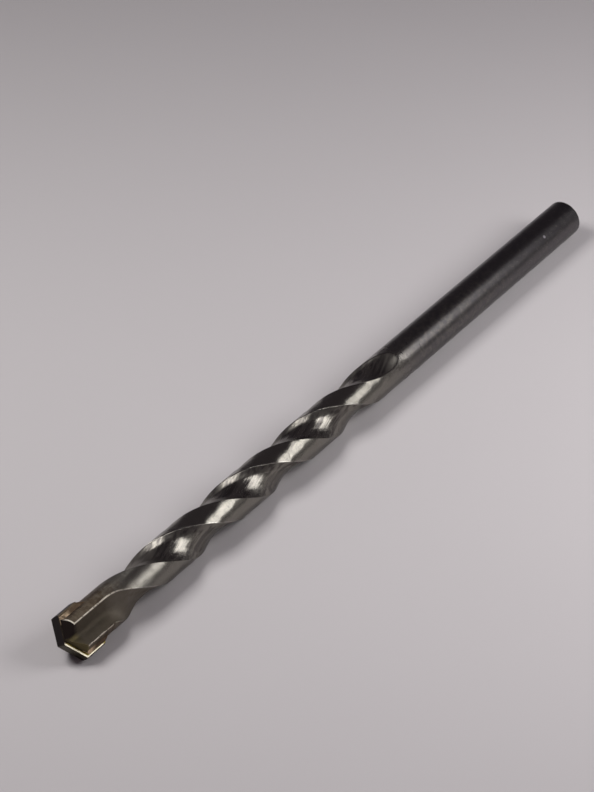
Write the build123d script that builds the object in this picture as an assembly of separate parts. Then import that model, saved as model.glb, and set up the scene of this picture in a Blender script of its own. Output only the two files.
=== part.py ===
# Masonry drill bit, 8 mm by 150 mm: a round steel body with a plain shank and two
# right-hand flutes, and a flat carbide plate brazed across its nose.
# Millimetres. The bit lies along X with its shank end at x = 0 and its point towards +X.
# +Z is up, and the bit rests on its lands, its shank and one corner of the carbide plate.
import math
import os
from build123d import *

# Overall sizes
overall_length = 150.0        # shank end to chisel edge
body_diameter = 7.0           # shank and flute lands
shank_chamfer = 0.35          # broken edge round the shank's end face
back_taper = 0.04             # the fluted part is this much thicker at the nose than at the shank
plain_margin = 1.5            # the back taper starts this far behind the flutes' end

# Carbide plate
tip_diameter = 8.4            # cutting diameter of a bit sold as 8 mm
tip_thickness = 2.0
tip_length = 6.7              # chisel edge to the plate's back edge
tip_back_radius = 1.0         # rounded back corners of the plate
point_angle = 125.0           # included angle between the two cutting edges
lip_relief = 7.0              # how far each flank falls behind its cutting edge, degrees
lip_hone = 0.10               # dulled width along the cutting edges and the leading sides

# Steel nose round the plate
nose_relief = 34.0            # slope of the steel behind each cutting edge, degrees
nose_step = 0.10              # steel starts this far behind the flank of the plate
rake_step = 0.75              # bare carbide in front of the steel on the cutting side
rake_relief = 24.0            # slope of the steel in front of each cutting edge, degrees

# Brazed seam
braze_gap = 0.10              # filler between plate and slot
braze_bead = 0.40             # leg of the bead along the foot of each wing

# Flutes: helical part
flute_length = 90.5           # chisel edge to the end of the run-out
flute_lead = 39.5             # one full turn
flute_angle = 108.2           # width of a flute round the body, degrees
web_diameter = 4.76           # core left between the two flutes
flute_dish = 2.5              # exponent of the flute's hollow: higher is a flatter floor

# Flutes: straight gullets at the nose
gullet_angle = 73.6           # width of a gullet round the body, degrees
gullet_web = 3.1              # core left between the two gullets
gullet_lead_in = 81.6         # middle of a gullet, ahead of its cutting edge, degrees
gullet_straight = 8.9         # chisel edge to where the twist starts
gullet_blend = 4.2            # over this length a gullet widens into a flute
gullet_floor_end = 20.0       # the core has grown to the flutes' by this far behind the chisel edge
twist_build = 2.0             # over this length the twist builds up

# Flutes: run-out at the shank
run_out_length = 12.8         # the cutter climbs out of the steel over this length
run_out_twist = 0.2           # share of the full twist left at the end of the run-out

# How the flute cutter is drawn
station_turn = 20.0           # degrees of twist between two sections
gullet_sections = 3           # sections along the straight gullet
run_out_sections = 8          # sections along the run-out
profile_points = 9            # points across a flute's hollow
cutter_overlap = 0.12         # the cutter is drawn this share wider and longer than its cut
cutter_reach = 1.6            # outer reach of the cutter, in body radii

body_radius = body_diameter / 2
tip_radius = tip_diameter / 2
half_thickness = tip_thickness / 2
slot_half = half_thickness + braze_gap
edge_slope = 1 / math.tan(math.radians(point_angle / 2))
relief_slope = math.tan(math.radians(lip_relief))
nose_slope = math.tan(math.radians(nose_relief))
rake_slope = math.tan(math.radians(rake_relief))
run_out_start = flute_length - run_out_length
shank_length = overall_length - flute_length - plain_margin
half_turn = 180
block_size = 4 * tip_radius

# The lying bit is turned until a corner of its plate touches the ground that the body lies on.
corner_angle = math.degrees(math.asin(half_thickness / tip_radius))
roll = math.degrees(math.asin(body_radius / tip_radius)) - corner_angle


def ease(value, start, end):
    """Rises smoothly from 0 at start to 1 at end."""
    share = min(max((value - start) / (end - start), 0), 1)
    return share * share * (3 - 2 * share)


def twist(depth):
    """Degrees that the flutes have turned at this distance behind the chisel edge."""
    building = min(max(depth - gullet_straight, 0), twist_build)
    steady = min(max(depth - gullet_straight - twist_build, 0), run_out_start - gullet_straight - twist_build)
    fading = max(depth - run_out_start, 0)
    turned = building ** 2 / (2 * twist_build) + steady
    turned += fading - (1 - run_out_twist) * fading ** 2 / (2 * run_out_length)
    return 360 / flute_lead * turned


def hollow_section(depth, side):
    """Closed outline of what one flute removes at this distance behind the chisel edge."""
    blend = ease(depth, gullet_straight, gullet_straight + gullet_blend)
    half_angle = (gullet_angle + (flute_angle - gullet_angle) * blend) / 2
    rise = ease(depth, 0, gullet_floor_end)
    floor = (gullet_web + (web_diameter - gullet_web) * rise) / 2
    climb = max(depth - run_out_start, 0) / run_out_length
    lift = (body_radius - floor) * climb ** 2
    middle = gullet_lead_in + side * half_turn - twist(depth)
    height = overall_length - depth
    points = []
    for step in range(profile_points):
        share = (1 + cutter_overlap) * (2 * step / (profile_points - 1) - 1)
        radius = floor + (body_radius - floor) * abs(share) ** flute_dish + lift
        angle = math.radians(middle + share * half_angle)
        points.append((radius * math.cos(angle), radius * math.sin(angle), height))
    outside = cutter_reach * body_radius + lift
    middle = math.radians(middle)
    top = (outside * math.cos(middle), outside * math.sin(middle), height)
    return Wire([Spline(*points), ThreePointArc(points[-1], top, points[0])])


def flute_cutter(side):
    """Everything one flute removes, from in front of the nose to past the run-out."""
    straight = [gullet_straight * k / gullet_sections for k in range(-1, gullet_sections + 1)]
    twisting = run_out_start - gullet_straight
    turns = math.ceil(twisting * 360 / flute_lead / station_turn)
    helical = [gullet_straight + twisting * (k + 1) / turns for k in range(turns)]
    leaving = run_out_length * (1 + cutter_overlap) / run_out_sections
    run_out = [run_out_start + leaving * (k + 1) for k in range(run_out_sections)]
    return Solid.make_loft([hollow_section(depth, side) for depth in straight + helical + run_out])


def front_block(across, along, start, side):
    """Block in front of a sloping plane.

    The plane meets the bit's axis at start behind the chisel edge, and falls back from there by
    across for each millimetre in X and by along for each millimetre in Y. Side -1 turns it by
    half a turn about the axis.
    """
    slope = Vector(across * side, along * side, 1).normalized()
    block = Box(block_size, block_size, block_size, align=(Align.CENTER, Align.CENTER, Align.MIN))
    return Plane(origin=(0, 0, overall_length - start), z_dir=slope) * block


def half_block(side):
    """Block that fills one side of the plate's middle plane round the nose."""
    block = Box(2 * block_size, block_size, 2 * block_size, align=(Align.CENTER, Align.MIN, Align.CENTER))
    return Pos(0, 0, overall_length) * Rot(0, 0, half_turn / 2 * (1 - side)) * block


def grind_nose(shape):
    """Grinds the steel nose: a slope behind each cutting edge, and a lower one in front of it."""
    flank_edge = relief_slope * half_thickness
    behind = flank_edge + nose_step - nose_slope * half_thickness
    ahead = rake_step - flank_edge - rake_slope * half_thickness
    for side in (1, -1):
        shape -= front_block(-edge_slope, nose_slope, behind, side) & half_block(side)
        shape -= front_block(edge_slope, rake_slope, ahead, side) & half_block(side)
    return shape


def make_fluted_bar():
    """The round bar with its chamfered end and its two flutes, before the nose is ground."""
    seat = (Align.CENTER, Align.CENTER, Align.MIN)
    shank = Cylinder(body_radius, shank_length, align=seat)
    shank = chamfer(shank.edges().group_by(Axis.Z)[0], shank_chamfer)
    nose_radius = body_radius + back_taper / 2
    fluted = Cone(body_radius, nose_radius, overall_length - shank_length, align=seat)
    return shank + Pos(0, 0, shank_length) * fluted - [flute_cutter(0), flute_cutter(1)]


def make_plate_blank():
    """The carbide plate before its point is ground: round ends and rounded back corners."""
    plate = Box(tip_diameter, tip_thickness, tip_length, align=(Align.CENTER, Align.CENTER, Align.MAX))
    back_corners = plate.edges().filter_by(Axis.Y).group_by(Axis.Z)[0]
    plate = Pos(0, 0, overall_length) * fillet(back_corners, tip_back_radius)
    return plate & Pos(0, 0, overall_length) * Cylinder(tip_radius, 3 * tip_length)


def grind_point(plate):
    """Grinds the two flanks, which meet in the chisel edge, and dulls the leading edges."""
    for side in (1, -1):
        plate -= front_block(edge_slope, -relief_slope, 0, side)
    leading = []
    for side in (1, -1):
        face = plate.faces().filter_by(Axis.Y).sort_by(Axis.Y)[(-1 - side) // 2]
        wing = [edge for edge in face.edges() if edge.center().X * side > half_thickness]
        leading += ShapeList(wing).sort_by(Axis.Z)[-2:]
    return chamfer(leading, lip_hone)


def make_slot():
    """What the slot across the nose removes."""
    depth = tip_length + braze_gap
    return Pos(0, 0, overall_length) * Box(block_size, 2 * slot_half, 2 * depth)


def bead_skirt(side):
    """Sloping skirt round the foot of one wing of the plate, where it leaves the steel."""
    foot = math.sqrt(body_radius ** 2 - half_thickness ** 2) - braze_bead
    sections = []
    for leg in (2 * braze_bead, braze_bead, 0):
        place = (side * (foot + 2 * braze_bead - leg), 0, overall_length)
        across = Plane(origin=place, x_dir=(0, 1, 0), z_dir=(1, 0, 0))
        sections.append(across * Rectangle(tip_thickness + 2 * leg, 2 * (tip_length + leg)))
    return loft(sections, ruled=True)


nosed_bar = grind_nose(make_fluted_bar())
plate_blank = make_plate_blank()
slot = make_slot()
steel_body = nosed_bar - slot
carbide_tip = grind_point(plate_blank)
skirts = [grind_nose(bead_skirt(side)) for side in (1, -1)]
braze_joint = (nosed_bar & slot) + skirts - steel_body - plate_blank

turn = math.radians(roll)
lying = Plane(origin=(0, 0, 0), x_dir=(0, math.cos(turn), -math.sin(turn)), z_dir=(1, 0, 0))
os.makedirs("parts", exist_ok=True)
export_step(lying.location * steel_body, "parts/steel_body.step")
export_step(lying.location * carbide_tip, "parts/carbide_tip.step")
export_step(lying.location * braze_joint, "parts/braze_joint.step")
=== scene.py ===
# %% [markdown]
# # A masonry drill bit on a pale table
#
# The bit is one bar of blackened steel with two twisted flutes, and a flat plate of carbide
# brazed into its nose. Every shape of the real thing is already in the CAD model, so this lesson
# is about looking: one camera, three soft lamps, and finishes built from nodes.
# Step one loads the solids. They arrive in metres, with the bit lying along X and its point
# towards +X, and they are never moved or reshaped here. Lengths below are written in millimetres,
# and MM turns them into metres.

# %% Load the solids
import math
import bmesh
import bpy
from mathutils import Euler, Matrix, Vector

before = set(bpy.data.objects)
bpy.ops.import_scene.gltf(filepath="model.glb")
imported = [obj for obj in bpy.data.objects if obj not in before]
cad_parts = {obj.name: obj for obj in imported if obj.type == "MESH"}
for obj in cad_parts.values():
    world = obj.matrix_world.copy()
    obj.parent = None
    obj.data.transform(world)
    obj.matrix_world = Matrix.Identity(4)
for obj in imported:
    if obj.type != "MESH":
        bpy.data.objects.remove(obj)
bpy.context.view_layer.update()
MM = 0.001

# %% [markdown]
# ## The camera
#
# A photograph of a straight bar gives its own camera away: the bar grows narrower with distance,
# its flutes repeat at one pitch, and its ends are circles. A camera fitted to those marks stands
# 45 cm away, above the point and a little to its right, with a long lens. The picture is taller
# than wide, so the vertical field is the one that is set.

# %% Camera
picture_height = 792
focal_pixels = 2576.9
camera_place = Vector((366.83, 202.01, 276.69))
camera_turn = (52.3312, -0.3589, 126.1798)
camera_data = bpy.data.cameras.new("camera")
camera_data.sensor_fit = "VERTICAL"
camera_data.sensor_height = 36.0
camera_data.lens = focal_pixels / picture_height * camera_data.sensor_height
camera = bpy.data.objects.new("camera", camera_data)
camera.location = camera_place * MM
camera.rotation_euler = Euler([math.radians(angle) for angle in camera_turn])
bpy.context.scene.collection.objects.link(camera)
bpy.context.scene.camera = camera
print("field of view", round(math.degrees(camera_data.angle), 2), "degrees")

# %% [markdown]
# ## Numbers that can be written as arithmetic
#
# A node tree is only arithmetic on values that change over a surface. One small class wraps a
# socket, so that `1 - mask` or `height * 0.4` adds the Math node by itself. Where the plain
# number stands on the left, as in `1 - mask`, Python turns to the methods that start with an r.

# %% Node arithmetic
class Level:
    """A value that changes over a surface."""

    def __init__(self, finish, socket):
        self.finish = finish
        self.socket = socket

    def operate(self, operation, first, second):
        settings = {"operation": operation}
        return self.finish.add("ShaderNodeMath", settings, {0: first, 1: second})

    def __add__(self, other):
        return self.operate("ADD", self, other)

    def __radd__(self, other):
        return self.operate("ADD", other, self)

    def __sub__(self, other):
        return self.operate("SUBTRACT", self, other)

    def __rsub__(self, other):
        return self.operate("SUBTRACT", other, self)

    def __mul__(self, other):
        return self.operate("MULTIPLY", self, other)

    def __rmul__(self, other):
        return self.operate("MULTIPLY", other, self)

    def __truediv__(self, other):
        return self.operate("DIVIDE", self, other)

    def __rtruediv__(self, other):
        return self.operate("DIVIDE", other, self)

    def __pow__(self, other):
        return self.operate("POWER", self, other)

    def __rpow__(self, other):
        return self.operate("POWER", other, self)

    def __abs__(self):
        return self.operate("ABSOLUTE", self, 0.0)

    def cosine(self):
        return self.operate("COSINE", self, 0.0)

    def sine(self):
        return self.operate("SINE", self, 0.0)

    def sign(self):
        return self.operate("SIGN", self, 0.0)

    def at_least(self, other):
        return self.operate("MAXIMUM", self, other)


print("node arithmetic is ready")

# %% [markdown]
# ## One finish, one node tree
#
# A second class holds a material. A single method adds any node to it: its settings go in first,
# because they decide which sockets it has, and then the values or links of its sockets. Every
# pattern reads the Object coordinates of its solid, scaled to millimetres, so that the numbers
# in a finish can be compared with a ruler.

# %% Finishes
class Finish:
    """One material and its node tree."""

    def __init__(self, name):
        self.material = bpy.data.materials.new(name)
        self.material.use_nodes = True
        self.tree = self.material.node_tree
        self.shader = self.tree.nodes["Principled BSDF"]
        metres = self.add("ShaderNodeTexCoord", {}, {}, "Object")
        to_millimetres = {0: metres, "Scale": 1 / MM}
        self.place = self.add("ShaderNodeVectorMath", {"operation": "SCALE"}, to_millimetres)

    def feed(self, socket, value):
        if isinstance(value, Level):
            self.tree.links.new(value.socket, socket)
        else:
            socket.default_value = value

    def add(self, kind, settings, inputs, output=0):
        node = self.tree.nodes.new(kind)
        for name, value in settings.items():
            setattr(node, name, value)
        for name, value in inputs.items():
            self.feed(node.inputs[name], value)
        return Level(self, node.outputs[output])

    def set(self, **inputs):
        for name, value in inputs.items():
            self.feed(self.shader.inputs[name.replace("_", " ")], value)

    def axes(self):
        split = self.add("ShaderNodeSeparateXYZ", {}, {0: self.place})
        outputs = split.socket.node.outputs
        return [Level(self, outputs[axis]) for axis in ("X", "Y", "Z")]

    def combine(self, x, y, z):
        return self.add("ShaderNodeCombineXYZ", {}, {"X": x, "Y": y, "Z": z})

    def between(self, value, start, end, low=0.0, high=1.0):
        """Eases from low at start to high at end."""
        inputs = {"Value": value, "From Min": start, "From Max": end}
        inputs.update({"To Min": low, "To Max": high})
        return self.add("ShaderNodeMapRange", {"interpolation_type": "SMOOTHSTEP"}, inputs)

    def clamp(self, value, low, high):
        return self.add("ShaderNodeClamp", {}, {"Value": value, "Min": low, "Max": high})

    def noise(self, scale, detail, roughness, place=None):
        inputs = {"Vector": place or self.place, "Scale": scale}
        inputs.update({"Detail": detail, "Roughness": roughness})
        return self.add("ShaderNodeTexNoise", {}, inputs)

    def tint(self, share, first, second):
        """Mixes two colours; the result is the Mix node's third output."""
        return self.add("ShaderNodeMix", {"data_type": "RGBA"}, {0: share, 6: first, 7: second}, 2)


print("finishes can be made")

# %% [markdown]
# ## The table
#
# The bit lies on a matt, warm-grey table, with painted light on it: its colour is painted paler
# towards the right and towards the viewer. A plane much larger than the view is enough. It touches
# the underside of the bit, and it is stage, not part of the bit.

# %% Table
body_radius = 3.5
table_reach = 3000.0
table_mesh = bpy.data.meshes.new("table")
sheet = bmesh.new()
bmesh.ops.create_grid(sheet, x_segments=1, y_segments=1, size=table_reach * MM)
bmesh.ops.translate(sheet, verts=sheet.verts, vec=Vector((0, 0, -body_radius * MM)))
sheet.to_mesh(table_mesh)
sheet.free()
table = bpy.data.objects.new("table", table_mesh)
bpy.context.scene.collection.objects.link(table)
print("table at height", -body_radius, "mm, reaching", table_reach, "mm to each side")

# %% [markdown]
# Its colour goes from a painted shade to a painted lit grey across the view, standing in for light
# that grows stronger towards the right and the viewer. A slow cloud of noise shifts the change by
# up to 20 mm, so that it never draws a straight line.

# %% Table colour
def colour(red, green, blue):
    return (red, green, blue, 1.0)


table_finish = Finish("table_grey")
x, y = table_finish.axes()[:2]
cloud = table_finish.noise(0.03, 3.0, 0.5)
rightwards = y * 1.07 - x * 0.38
painted_shade_end, painted_lit_end = -160.0, 120.0
# Painted light: the table's grey eases from a painted shade into a painted lit grey across the
# view.
painted_light_share = table_finish.between(rightwards + cloud * 20.0, painted_shade_end, painted_lit_end)
painted_shade_grey, painted_lit_grey = colour(0.628, 0.597, 0.598), colour(0.770, 0.730, 0.734)
table_finish.set(Base_Color=table_finish.tint(painted_light_share, painted_shade_grey, painted_lit_grey))
table_finish.set(Roughness=0.8, Specular_IOR_Level=0.1)
table_mesh.materials.append(table_finish.material)
print("table finish has", len(table_finish.tree.nodes), "nodes")

# %% [markdown]
# ## Two small lamps close by, and a dim wall
#
# The photograph says where its light came from. On the near side the bit throws a narrow shadow
# with a soft rim, and on the far side a wide one that fades, so there were two lamps. Both
# shadows, and the table, grow lighter from one end of the bit to the other, which only near
# lamps do. Working back from these puts one lamp 22 cm from the middle of the bit, beyond the
# shank's end on the camera's side, and the other 29 cm away, high above the point. Each is a
# square panel the width of a hand. A third panel, large, very dim and 60 cm away, stands for a
# pale wall, which keeps the lands from going black just under their bright band.

# %% Lamps
bit_length = 150.0
bit_middle = Vector((bit_length / 2, 0, 0)) * MM


def hang_lamp(name, place, size, glow, tone):
    """A flat lamp that faces the middle of the bit; glow is the brightness of its panel."""
    lamp = bpy.data.lights.new(name, "AREA")
    lamp.shape = "RECTANGLE"
    lamp.size, lamp.size_y = size[0] * MM, size[1] * MM
    lamp.energy = glow * math.pi * lamp.size * lamp.size_y
    lamp.color = tone
    back = (Vector(place) * MM - bit_middle).normalized()
    upward = back.cross(Vector((1, 0, 0))).normalized()
    sideways = upward.cross(back)
    holder = bpy.data.objects.new(name, lamp)
    axes = Matrix((sideways, upward, back)).transposed().to_4x4()
    holder.matrix_world = Matrix.Translation(Vector(place) * MM) @ axes
    bpy.context.scene.collection.objects.link(holder)
    print(name, "energy", round(lamp.energy, 3), "watts")


hang_lamp("low_lamp", (-27, 139, 136), size=(125, 118), glow=4.8, tone=(1.0, 1.0, 1.01))
hang_lamp("high_lamp", (175, -135, 236), size=(122, 122), glow=9.5, tone=(1.0, 0.995, 0.995))
hang_lamp("wall", (-197, 514, 145), size=(650, 168), glow=0.25, tone=(1.0, 0.98, 0.94))

# %% [markdown]
# The world stands for the dark room, which is what the top of the bit reflects. The Standard view
# shows each colour as it is, so the numbers of a finish stay close to those of the picture.

# %% Room
world = bpy.data.worlds.new("room")
world.use_nodes = True
background = world.node_tree.nodes["Background"]
background.inputs["Color"].default_value = colour(0.078, 0.067, 0.078)
bpy.context.scene.world = world
bpy.context.scene.view_settings.view_transform = "Standard"
print("the room glows at strength", background.inputs["Strength"].default_value)

# %% [markdown]
# ## Where a point lies on the bit
#
# The steel changes its look along the bit and round each flute, so its finish first works out
# where a point is: how far behind the point of the bit, how far from the axis, and how many
# degrees round from the middle of the nearest flute. The last needs the twist of the real flutes:
# none in the straight gullets, then a short length over which it builds up, the steady helix, and
# the run-out, where it fades again.

# %% Twist of the flutes
flute_lead = 39.5
gullet_straight = 8.9
twist_build = 2.0
steady_start = gullet_straight + twist_build
run_out_start = 77.7
run_out_length = 12.8
twist_lost = 0.8


def turned_length(finish, depth):
    """The length of steady helix that would turn as far as the flutes have turned here."""
    building = finish.clamp(depth - gullet_straight, 0.0, twist_build)
    steady = finish.clamp(depth - steady_start, 0.0, run_out_start - steady_start)
    fading = finish.clamp(depth - run_out_start, 0.0, run_out_length / twist_lost)
    turned = building * building / (2 * twist_build) + steady
    return turned + fading - fading * fading * (twist_lost / (2 * run_out_length))


print("the flutes turn", round(360 / flute_lead, 2), "degrees for each millimetre")

# %% [markdown]
# The angle round the axis comes from the arc tangent. Half a turn holds one flute, so the angle is
# divided by half a turn, and the part after the decimal point tells how far through its flute a
# point is. Whole half turns are added first, because that part is only right above zero.

# %% Bit coordinates
plate_angle = 42.67
gullet_lead_in = 81.6
half_turn = 180.0
added_turns = 20


def place_on_bit(finish):
    """Depth behind the point, distance from the axis, angle round it, and phase in the flute."""
    x, y, z = finish.axes()
    depth = bit_length - x
    radius = (y * y + z * z) ** 0.5
    angle = finish.add("ShaderNodeMath", {"operation": "ARCTAN2"}, {0: z, 1: y})
    angle = angle * (half_turn / math.pi)
    turned = turned_length(finish, depth) * (360 / flute_lead)
    turns = (angle + plate_angle - gullet_lead_in + turned) / half_turn
    turns = turns + (added_turns + 0.5)
    share = finish.add("ShaderNodeMath", {"operation": "FRACT"}, {0: turns})
    return depth, radius, angle, (share - 0.5) * half_turn


print("the plate stands", plate_angle, "degrees from lying flat")

# %% [markdown]
# ## The steel, part one: zones
#
# Several finishes run into each other on one bar, so the first step is a set of masks, each 1
# where its finish is full and 0 where there is none of it: the lands between the flutes, the
# length over which they are worn bare, the matt gullets, and the lengths that the heat of brazing
# has browned and scaled. No such border is a clean circle, so noise shifts each one to and fro.

# %% Steel zones
def ragged(value, noise, reach):
    """Shifts a value to and fro by half of reach."""
    return value + (noise - 0.5) * reach


steel = Finish("blackened_steel")
depth, radius, angle, phase = place_on_bit(steel)
mottle = steel.noise(1.1, 4.0, 0.6)
speckle = steel.noise(6.0, 3.0, 0.6)
patchy = steel.noise(0.35, 2.0, 0.5)
hollow_radius, land_radius = 3.36, 3.45
oxide_start, worn_end = 98.0, 82.0
milled_start, matt_end = 26.0, 11.0
brown_gone, brown_end = 17.0, 8.0
scale_gone, scale_end = 31.0, 9.0
land = steel.between(ragged(radius, speckle, 0.04), hollow_radius, land_radius)
bare = steel.between(ragged(depth, mottle, 8.0), oxide_start, worn_end)
hollow = 1 - steel.between(radius, 3.30, 3.42)
gullet = hollow * steel.between(ragged(depth, patchy, 10.0), milled_start, matt_end)
heat = steel.between(ragged(depth, mottle, 8.0), brown_gone, brown_end)
scale = steel.between(ragged(depth, mottle, 9.0), scale_gone, scale_end)
print("steel nodes after the zones", len(steel.tree.nodes))

# %% [markdown]
# ## The steel, part two: edges of the flutes
#
# The rims of the straight gullets get a painted highlight, a bright line where their sharp edges
# would catch the light, and further back the leading edge of each flute shows a thin bright lip,
# partly wear where it rubs and partly painted highlight. Both are found by how many degrees a
# point lies beyond the edge of its flute, whose half width grows from the gullet's to the flute's.
# The rim on one side of a gullet ends 4 mm before the other. Noise chips both lines.

# %% Flute edges
def band(finish, value, start, end, soft):
    """1 between start and end, easing to 0 over soft on either side."""
    return finish.between(value, start - soft, start) * finish.between(value, end + soft, end)


gullet_half, flute_half = 36.8, 54.1
gullet_blend = 4.2
flute_start = gullet_straight + gullet_blend
half_width = steel.between(depth, gullet_straight, flute_start, gullet_half, flute_half)
beyond = abs(phase) - half_width
chips = steel.noise(2.2, 3.0, 0.7)
shorter = steel.between(phase, 5.0, -5.0) * 4.0
straight = steel.between(depth + shorter, 16.0, 10.0)
# Painted highlight: a bright line along each gullet rim, where its sharp edge would catch the
# light.
rim_glint = band(steel, ragged(beyond, chips, 2.0), -1.0, 1.6, 1.2) * land * straight
# Partly wear and partly painted highlight: a bright lip along the leading edge of each flute.
lip_and_glint = band(steel, beyond, -0.4, 1.8, 1.6) * land
lip_and_glint = lip_and_glint * steel.between(depth, 80.0, 74.0) * steel.between(phase, 0.0, 1.0)
print("steel nodes after the edges", len(steel.tree.nodes))

# %% [markdown]
# ## The steel, part three: the ground nose
#
# The nose is ground in two slopes on each side of the plate, one behind each cutting edge and a
# lower one in front of it. The same slopes tell how far a point lies below the ground nose, so
# the painted shade on it and the painted highlight on its outer edge follow from one number. All
# of it is measured in the plate's own directions, and the width is turned over on one side of the
# plate, because the two halves of the nose are the same shape, half a turn apart.

# %% Nose slopes
plate_lean = math.radians(plate_angle)
edge_slope = 0.5206
nose_slope, nose_rise = 0.6745, 0.4517
rake_slope, rake_drop = 0.4452, 0.182


def plate_axes(finish):
    """Across the plate's width, and through its thickness."""
    y, z = finish.axes()[1:]
    cosine, sine = math.cos(plate_lean), math.sin(plate_lean)
    return y * cosine - z * sine, y * sine + z * cosine


width, thickness = plate_axes(steel)
off_plate = abs(thickness)
turned_width = width * thickness.sign()
behind = off_plate * nose_slope - turned_width * edge_slope - nose_rise
ahead = off_plate * rake_slope + turned_width * edge_slope + rake_drop
below = depth - behind.at_least(ahead)
slopes = [round(math.degrees(math.atan(slope))) for slope in (nose_slope, rake_slope)]
print("the nose slopes away from the plate by", slopes, "degrees")

# %% [markdown]
# Painted shade lies on the ground faces and runs a little way down into the gullets, most of it
# behind the cutting edges. The crest is the outer edge of the slope behind each cutting edge,
# where a painted highlight makes a bright corner.

# %% Nose masks
ground = steel.between(below, 0.10, 0.03)
# Painted shade on the ground nose faces, running a little into the gullets.
nose_shade = steel.between(ragged(depth, chips, 1.6), 3.2, 1.9)
nose_shade = nose_shade * (1 - steel.between(radius, 3.35, 3.45))
nose_shade = nose_shade * steel.between(turned_width, 1.3, 0.3, 0.25, 1.0)
# Painted highlight: a bright corner along the outer edge of the slope behind each cutting edge.
crest_glint = band(steel, below, -0.01, 0.04, 0.05) * steel.between(radius, 3.33, 3.41)
crest_glint = crest_glint * steel.between(turned_width, -1.0, -1.4) * steel.between(off_plate, 1.3, 2.0)
print("steel nodes after the nose", len(steel.tree.nodes))

# %% [markdown]
# ## The steel, part four: wound patterns
#
# In the flutes the cutter left dark and light lines that lean a little less than the flutes do,
# with finer threads between them, and the lands and the shank carry thin scratches that lean the
# other way. All are noise, stretched along a helix: the coordinates are turned about the axis in
# step with X, so that the pattern follows the steel round.

# %% Wound patterns
def wound(finish, turn, along, around):
    """Coordinates for a texture wound about the bit: turn is in radians per millimetre."""
    x, y, z = finish.axes()
    swing = x * turn
    cosine, sine = swing.cosine(), swing.sine()
    sideways = (y * cosine - z * sine) * around
    upward = (y * sine + z * cosine) * around
    return finish.combine(x * along, sideways, upward)


cutter_turn, scratch_turn = 0.1255, -0.22
lines = steel.noise(1.0, 2.0, 0.45, wound(steel, cutter_turn, 0.05, 1.35))
threads = steel.noise(1.0, 3.0, 0.6, wound(steel, cutter_turn, 0.25, 7.0))
scratches = steel.noise(1.0, 2.0, 0.5, wound(steel, scratch_turn, 0.35, 5.0))
ridge = steel.between(ragged(lines, threads, 0.30), 0.36, 0.56)
scored = steel.between(abs(scratches - 0.5), 0.012, 0.003) * steel.between(mottle, 0.50, 0.58)
print("the cutter's lines turn", round(math.degrees(cutter_turn), 1), "degrees a millimetre")

# %% [markdown]
# ## The steel, part five: colour
#
# The shank keeps its black oxide, darkest towards its end. The lands are worn bright where they
# rub in the hole, and the milled flutes show the cutter's lines. The masks mix the three: first
# oxide and wear along the outside, then that with the flutes.

# %% Steel colour
dark_oxide, pale_oxide = colour(0.098, 0.091, 0.095), colour(0.140, 0.131, 0.122)
dark_wear, pale_wear = colour(0.180, 0.169, 0.148), colour(0.220, 0.208, 0.183)
dark_line, pale_line = colour(0.110, 0.101, 0.093), colour(0.212, 0.199, 0.175)
scratch_grey = colour(0.30, 0.28, 0.25)
faded = steel.between(mottle, 0.30, 0.70) * steel.between(depth, 105.0, 135.0, 1.0, 0.25)
oxide = steel.tint(faded, dark_oxide, pale_oxide)
worn = steel.tint(steel.between(speckle, 0.30, 0.70), dark_wear, pale_wear)
milled = steel.tint(ridge, dark_line, pale_line)
outside = steel.tint(bare, oxide, worn)
outside = steel.tint(scored * 0.6, outside, scratch_grey)
surface = steel.tint(land, milled, outside)
print("steel nodes after the plain colours", len(steel.tree.nodes))

# %% [markdown]
# Behind the plate the heat of brazing has left the lands brown and the gullets matt and stained,
# darkest next to the nose. The ground faces get painted shade, black behind the cutting edges and
# olive in front.

# %% Heat and soot
dark_brown, pale_brown = colour(0.098, 0.068, 0.042), colour(0.180, 0.140, 0.095)
dark_matt, pale_matt = colour(0.098, 0.080, 0.057), colour(0.215, 0.190, 0.158)
nose_shade_black, nose_shade_olive = colour(0.032, 0.024, 0.022), colour(0.170, 0.142, 0.075)
browned = steel.tint(steel.between(mottle, 0.35, 0.65), dark_brown, pale_brown)
surface = steel.tint(heat * land * 0.85, surface, browned)
stained = mottle * 0.4 + steel.between(depth, 8.5, 12.0) * 0.52
surface = steel.tint(gullet, surface, steel.tint(stained, dark_matt, pale_matt))
# Painted shade: black behind the cutting edges, olive in front.
painted_nose_shade = steel.tint(steel.between(ahead - behind, -0.3, 0.3), nose_shade_black, nose_shade_olive)
surface = steel.tint(steel.clamp(ground + nose_shade, 0.0, 1.0), surface, painted_nose_shade)
print("steel nodes after heat and soot", len(steel.tree.nodes))

# %% [markdown]
# Last come the edges, bright with painted highlight and, on the lips, with wear, and two small
# marks on the shank: a pale nick, which is a spot measured from its middle, and a dark cut, a
# short line that slants a little round the bar. An angle counts as the length of its arc on the
# outside.

# %% Bright edges and marks
lip_glint_metal, rim_glint_metal = colour(0.42, 0.40, 0.36), colour(0.90, 0.83, 0.70)
crest_glint_metal, nick_metal = colour(1.0, 0.94, 0.80), colour(0.55, 0.53, 0.55)
cut_black = colour(0.045, 0.042, 0.040)
arc_of_degree = 0.061
nick_depth, nick_angle = 138.5, 49.0
cut_depth, cut_angle, cut_slant = 96.0, 40.0, 0.02
# Lip: rubbed steel with a painted highlight on it.
surface = steel.tint(lip_and_glint * steel.between(chips, 0.40, 0.56) * 0.6, surface, lip_glint_metal)
# Painted highlight along the gullet rims.
surface = steel.tint(rim_glint * steel.between(chips, 0.36, 0.48), surface, rim_glint_metal)
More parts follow.
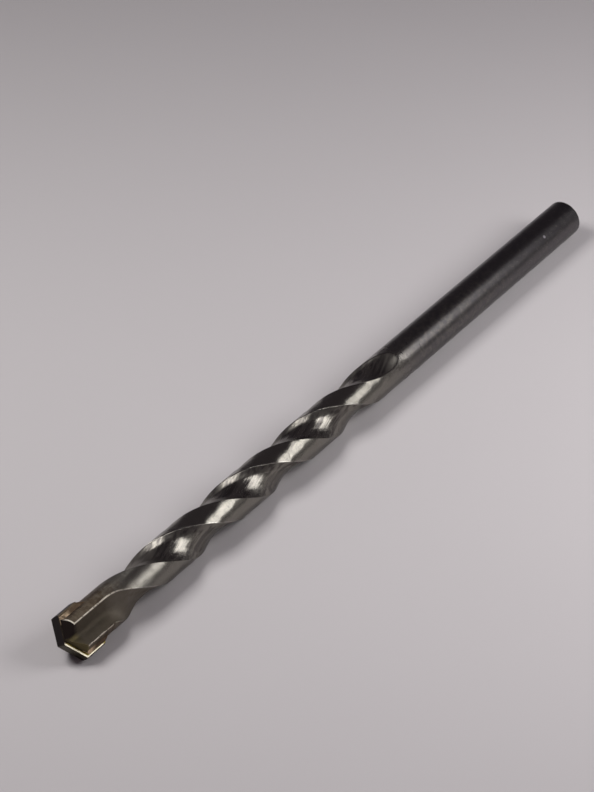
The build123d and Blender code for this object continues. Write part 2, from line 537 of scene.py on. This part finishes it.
# Painted highlight on the crest.
surface = steel.tint(crest_glint, surface, crest_glint_metal)
nick = ((depth - nick_depth) ** 2.0 + ((angle - nick_angle) * arc_of_degree) ** 2.0) ** 0.5
surface = steel.tint(steel.between(nick, 0.42, 0.12), surface, nick_metal)
off_cut = angle - cut_angle
cut = abs(depth - cut_depth - off_cut * cut_slant) + steel.between(abs(off_cut), 8.0, 16.0)
surface = steel.tint(steel.between(cut, 0.16, 0.06) * 0.7, surface, cut_black)
steel.set(Base_Color=surface, Metallic=1.0)
print("steel nodes after the marks", len(steel.tree.nodes))

# %% [markdown]
# ## The steel, part six: roughness
#
# The worn lands are the smoothest, the oxide is a little duller, and the lands grow rougher again
# towards the nose, where heat has scaled them. The flutes are cut smooth, but they are rougher in
# their run-outs and on their outer walls. The gullets are matt.

# %% Steel roughness
oxide_rough, worn_rough, milled_rough = 0.30, 0.22, 0.26
matt_rough, edge_rough = 0.68, 0.50
wall = band(steel, phase, 40.0, 60.0, 14.0) * (1 - land)
wall = wall * steel.between(depth, 13.0, 19.0) * steel.between(depth, 96.0, 91.0)
run_out = steel.between(depth, 84.0, 89.0)
outside_rough = ragged(steel.between(bare, 0.0, 1.0, oxide_rough, worn_rough), mottle, 0.08)
flute_rough = ragged(milled_rough, threads, 0.10) + run_out * 0.12
rough = outside_rough * land + (1 - land) * flute_rough
rough = rough + heat * land * 0.06 + scale * land * 0.17 + wall * 0.11
rough = rough * (1 - gullet) + gullet * matt_rough
glint_edges = steel.clamp(rim_glint + crest_glint, 0.0, 1.0)
rough = rough * (1 - glint_edges) + glint_edges * edge_rough
steel.set(Roughness=steel.clamp(rough, 0.12, 0.75))
print("steel nodes after the roughness", len(steel.tree.nodes))

# %% [markdown]
# ## The steel, part seven: relief
#
# Fine turned marks run round the lands and the shank. They are too small to see one by one, but
# they spread each reflection along the bit, which is why the bright band fades so slowly towards
# the shank. The cutter's lines do the same across the flutes and break the bright patch there.
# All heights are in millimetres, and they go to one Bump node.

# %% Steel relief
turned_marks = steel.noise(1.0, 2.0, 0.5, wound(steel, 0.0, 9.0, 0.5))
marks_height = steel.between(bare, 0.0, 1.0, 0.020, 0.032) + scale * 0.022
lands_height = turned_marks * marks_height + scratches * 0.006 + mottle * 0.006
lines_height = steel.between(phase, -30.0, 0.0, 0.035, 0.10)
flutes_height = lines * lines_height + threads * 0.018
height = lands_height * land + flutes_height * (1 - land) * (1 - gullet * 0.7)
print("steel nodes after the heights", len(steel.tree.nodes))

# %% [markdown]
# The outer wall of each flute also takes the light as if it leaned 13 degrees further towards the
# point and round the bar, which brings out a second bright patch in every flute. The solid is
# left as it is: the lean is added to the surface's own direction before the bump is applied.

# %% Lean of the flute walls
def bump(finish, height, normal=None):
    """Tilts the surface by a height in millimetres."""
    inputs = {"Height": height, "Distance": MM, "Strength": 1.0}
    if normal:
        inputs["Normal"] = normal
    return finish.add("ShaderNodeBump", {}, inputs)


lean_forward, lean_round = 0.21, 0.10
y, z = steel.axes()[1:]
round_y, round_z = z / radius * wall * -lean_round, y / radius * wall * lean_round
lean_out = steel.combine(wall * lean_forward, round_y, round_z)
facing = steel.add("ShaderNodeNewGeometry", {}, {}, "Normal")
leaning = steel.add("ShaderNodeVectorMath", {"operation": "ADD"}, {0: facing, 1: lean_out})
leaning = steel.add("ShaderNodeVectorMath", {"operation": "NORMALIZE"}, {0: leaning})
steel.set(Normal=bump(steel, height, leaning))
most = math.degrees(math.atan(math.hypot(lean_forward, lean_round)))
print("the flute walls lean by at most", round(most), "degrees")

# %% [markdown]
# ## The carbide plate
#
# The plate cuts with its two leading faces, where it is dulled in a narrow strip along the point's
# edges and along its sides, and that strip also carries a painted highlight. It stands at an angle
# to the ground, so its own width and thickness are worked out first. They tell the broad faces
# from the ground flanks, the leading half of each from the trailing one, and the distance to the
# nearest edge.

# %% Carbide masks
plate_half_width = 4.2
carbide = Finish("ground_carbide")
width, thickness = plate_axes(carbide)
behind_point = bit_length - carbide.axes()[0]
leading = carbide.between(width * thickness, -0.2, 0.2)
face = carbide.between(abs(thickness), 0.93, 0.985)
edge_gap = behind_point - abs(width) * edge_slope
side_gap = plate_half_width - abs(width)
grain = carbide.noise(9.0, 4.0, 0.65)
stain = carbide.noise(1.6, 3.0, 0.6)
near_edge = carbide.between(ragged(edge_gap, grain, 0.08), 0.32, 0.24)
near_side = carbide.between(ragged(side_gap, grain, 0.06), 0.44, 0.34)
near_side = near_side * carbide.between(behind_point, 6.3, 5.6)
# Worn strip with a painted highlight along the cutting edges and sides of the plate.
hone_glint = leading * face * carbide.clamp(near_edge + near_side, 0.0, 1.0)
print("carbide nodes after the masks", len(carbide.tree.nodes))

# %% [markdown]
# Ground carbide is a dark, dense grey, and one wing is blacker than the other. On the leading faces
# the braze has left an olive stain, and the trailing ones are burnt. The dulled strips are bare and
# painted bright as a highlight.

# %% Carbide colour
dark_ground, pale_ground = colour(0.052, 0.045, 0.030), colour(0.085, 0.072, 0.045)
dark_olive, pale_olive = colour(0.085, 0.066, 0.015), colour(0.150, 0.115, 0.030)
dark_burnt, pale_burnt = colour(0.032, 0.024, 0.016), colour(0.075, 0.056, 0.038)
flank_black, hone_glint_grey = colour(0.026, 0.021, 0.021), colour(0.40, 0.365, 0.285)
blackened = carbide.between(width, 0.3, -0.3)
flank = carbide.tint(stain, dark_ground, pale_ground)
plate_colour = carbide.tint(blackened, flank, flank_black)
olive = carbide.tint(stain, dark_olive, pale_olive)
plate_colour = carbide.tint(face * leading, plate_colour, olive)
burnt = carbide.tint(stain, dark_burnt, pale_burnt)
plate_colour = carbide.tint(face * (1 - leading), plate_colour, burnt)
# Painted highlight on the dulled strips.
plate_colour = carbide.tint(hone_glint, plate_colour, hone_glint_grey)
carbide.set(Base_Color=plate_colour, Metallic=1.0)
carbide.set(Roughness=ragged(0.44, grain, 0.12) - hone_glint * 0.10)
carbide.set(Normal=bump(carbide, grain * 0.012 + stain * 0.02))
print("carbide nodes", len(carbide.tree.nodes))

# %% [markdown]
# ## The brazed seam
#
# The filler round the plate is a brassy metal that has run, frozen in small waves and tarnished
# in patches. A few crests near the point are still bright gold. The thin sheets of it between the
# plate and the slot show only as a dark line, so they get one dark colour. One noise gives both
# the waves and the patches, because the tarnish wears off the crests first.

# %% Braze
tarnished, golden = colour(0.150, 0.104, 0.068), colour(0.86, 0.66, 0.44)
seam_dark = colour(0.060, 0.052, 0.045)
braze = Finish("brazing_filler")
runs = braze.noise(0.9, 2.0, 0.5)
grit = braze.noise(7.0, 3.0, 0.6)
from_axis = abs(plate_axes(braze)[0])
in_slot = braze.between(from_axis, 2.9, 2.5)
crown = braze.between(ragged(bit_length - braze.axes()[0], runs, 1.5), 4.6, 3.0)
polish = braze.between(ragged(runs, grit, 0.2), 0.30, 0.54) * crown
filler = braze.tint(polish, tarnished, golden)
braze.set(Base_Color=braze.tint(in_slot, filler, seam_dark), Metallic=1.0)
braze.set(Roughness=0.54 - polish * 0.16)
braze.set(Normal=bump(braze, runs * 0.16 + grit * 0.03))
print("braze nodes", len(braze.tree.nodes))

# %% [markdown]
# ## Dress the solids
#
# Each solid keeps its own mesh, and only its material slots are filled.

# %% Dress the solids
for node, finish in (("steel_body", steel), ("carbide_tip", carbide), ("braze_joint", braze)):
    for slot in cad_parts[node].material_slots:
        slot.material = finish.material
    print(node, "wears", finish.material.name, "with", len(finish.tree.nodes), "nodes")
